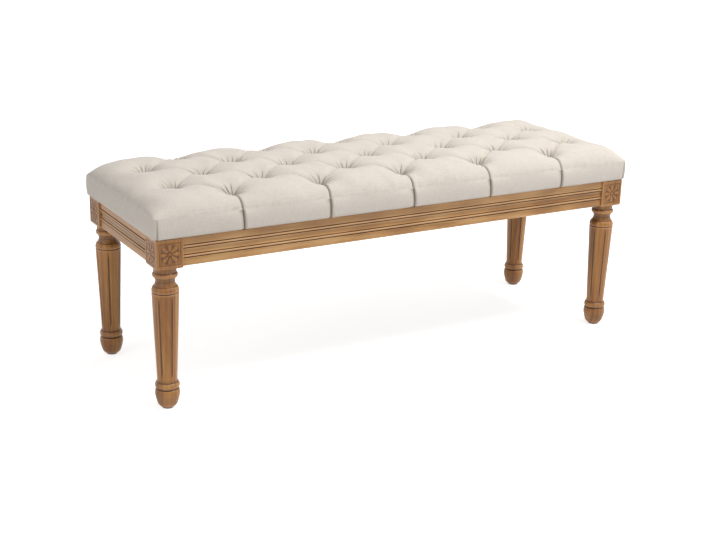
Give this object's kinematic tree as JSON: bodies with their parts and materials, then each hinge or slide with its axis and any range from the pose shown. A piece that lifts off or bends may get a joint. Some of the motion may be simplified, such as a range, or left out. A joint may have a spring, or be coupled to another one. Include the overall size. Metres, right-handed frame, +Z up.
{
  "type": "upholstered bench",
  "caption": "Long upholstered bench: diamond-tufted linen seat on a moulded wooden frame with turned, fluted legs and carved rosette blocks.",
  "frame": {"origin": "on the floor, under the middle of the seat", "axes": "+X along the bench, the front long side faces -Y, +Z up"},
  "size_m": [1.208, 0.41, 0.4596],
  "materials": {
    "wood": "satin",
    "plain_wood": "matte",
    "zinc_steel": "satin",
    "glide_plastic": "matte",
    "dust_cloth": "matte",
    "board": "matte",
    "foam": "matte",
    "linen": "matte",
    "twine": "matte",
    "toggle_plastic": "matte"
  },
  "bodies": {
    "root": {"leg_front_left": "wood", "leg_front_right": "wood", "leg_back_right": "wood", "leg_back_left": "wood", "rail_front": "wood", "rail_right": "wood", "rail_back": "wood", "rail_left": "wood", "cross_rail": "plain_wood", "corner_bracket_front_left": "zinc_steel", "corner_bracket_front_right": "zinc_steel", "corner_bracket_back_right": "zinc_steel", "corner_bracket_back_left": "zinc_steel", "hanger_bolts": "zinc_steel", "bolt_nuts": "zinc_steel", "seat_angles": "zinc_steel", "foot_glides": "glide_plastic", "dust_cover": "dust_cloth", "seat_board": "board", "seat_foam": "foam", "seat_cover": "linen", "tuft_ties": "twine", "tie_toggles": "toggle_plastic"}
  },
  "joints": []
}
